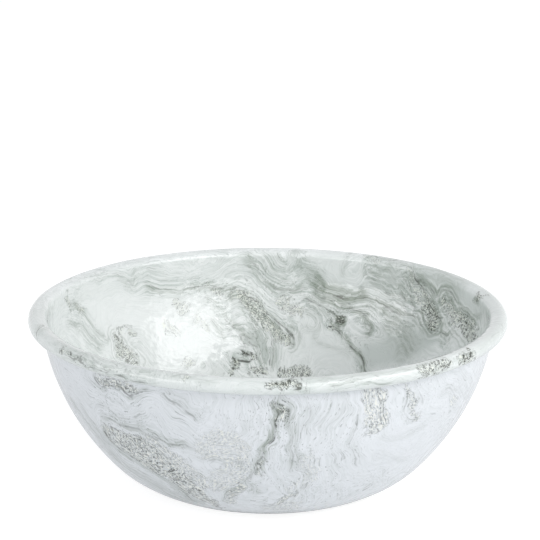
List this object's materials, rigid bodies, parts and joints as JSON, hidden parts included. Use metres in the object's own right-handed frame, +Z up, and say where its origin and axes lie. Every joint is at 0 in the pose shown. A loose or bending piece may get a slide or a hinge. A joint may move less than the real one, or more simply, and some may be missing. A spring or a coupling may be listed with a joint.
{
  "type": "enamel bowl",
  "caption": "Round enamelled steel mixing bowl with a flat foot, curved walls, a rolled bead rim and a marbled glass coat.",
  "frame": {"origin": "middle of the flat foot, on the surface that the bowl stands on", "axes": "+Z up along the bowl's axis, from the foot to the rim; the pictured side faces -Y"},
  "size_m": [0.26, 0.26, 0.095],
  "materials": {
    "steel": "matte",
    "ground_enamel": "gloss",
    "marbled_enamel_inside": "gloss",
    "marbled_enamel_outside": "gloss"
  },
  "bodies": {
    "root": {"steel_shell": "steel", "ground_coat_inside": "ground_enamel", "ground_coat_outside": "ground_enamel", "cover_coat_inside": "marbled_enamel_inside", "cover_coat_outside": "marbled_enamel_outside"}
  },
  "joints": []
}
